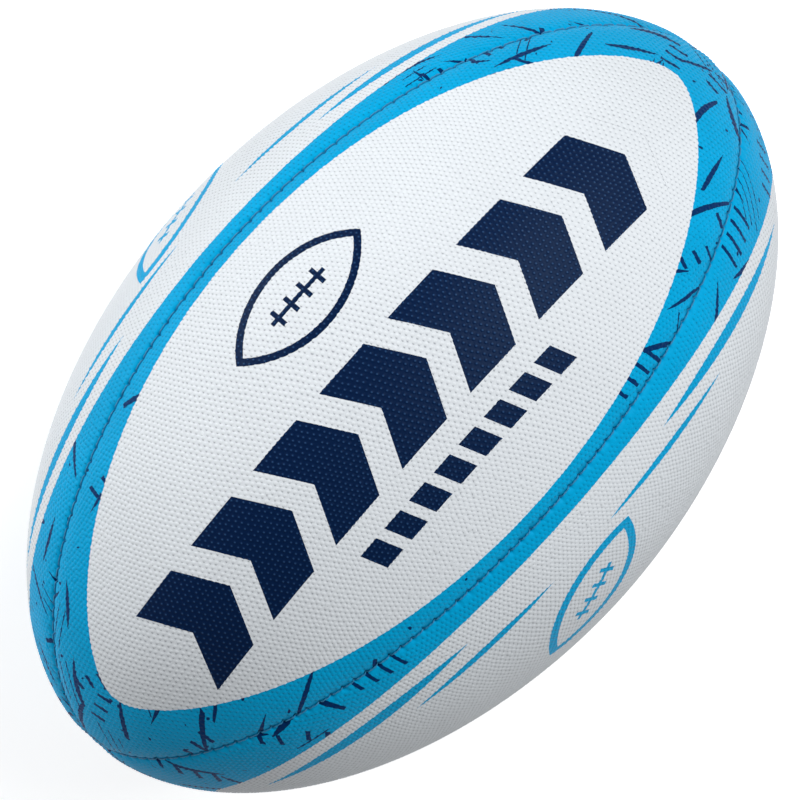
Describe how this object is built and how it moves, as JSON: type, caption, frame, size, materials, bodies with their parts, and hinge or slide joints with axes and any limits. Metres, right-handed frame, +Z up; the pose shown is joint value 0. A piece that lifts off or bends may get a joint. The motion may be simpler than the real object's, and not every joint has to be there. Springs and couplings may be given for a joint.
{
  "type": "rugby ball",
  "caption": "Oval rugby ball: pimpled rubber cover over fabric plies, sewn seams from tip to tip, an inner bladder and a flush needle valve.",
  "frame": {"origin": "centre of the ball, half way between its tips on its long axis", "axes": "+X along the long axis to one tip, +Y out through the needle valve, +Z up through the middle of the next panel, so the ball lies on its side"},
  "size_m": [0.2938, 0.188, 0.188],
  "materials": {
    "grip_rubber": "pimpled, semi-matt, printed in sky blue and navy",
    "ply_fabric": "plain-woven polycotton, latex bonded",
    "waxed_thread": "twisted, waxed",
    "bladder_rubber": "smooth with a moulding line",
    "patch_fabric": "coarse canvas",
    "valve_rubber": "moulded, satin",
    "plug_rubber": "moulded, greased"
  },
  "bodies": {
    "root": {"grip_panel_1": "grip_rubber", "outer_ply_1": "ply_fabric", "middle_ply_1": "ply_fabric", "inner_ply_1": "ply_fabric", "seam_thread_1": "waxed_thread", "grip_panel_2": "grip_rubber", "outer_ply_2": "ply_fabric", "middle_ply_2": "ply_fabric", "inner_ply_2": "ply_fabric", "seam_thread_2": "waxed_thread", "grip_panel_3": "grip_rubber", "outer_ply_3": "ply_fabric", "middle_ply_3": "ply_fabric", "inner_ply_3": "ply_fabric", "seam_thread_3": "waxed_thread", "grip_panel_4": "grip_rubber", "outer_ply_4": "ply_fabric", "middle_ply_4": "ply_fabric", "inner_ply_4": "ply_fabric", "seam_thread_4": "waxed_thread", "bladder": "bladder_rubber", "panel_valve_patch": "patch_fabric", "bladder_valve_patch": "bladder_rubber", "valve_body": "valve_rubber", "valve_plug": "plug_rubber"}
  },
  "joints": []
}
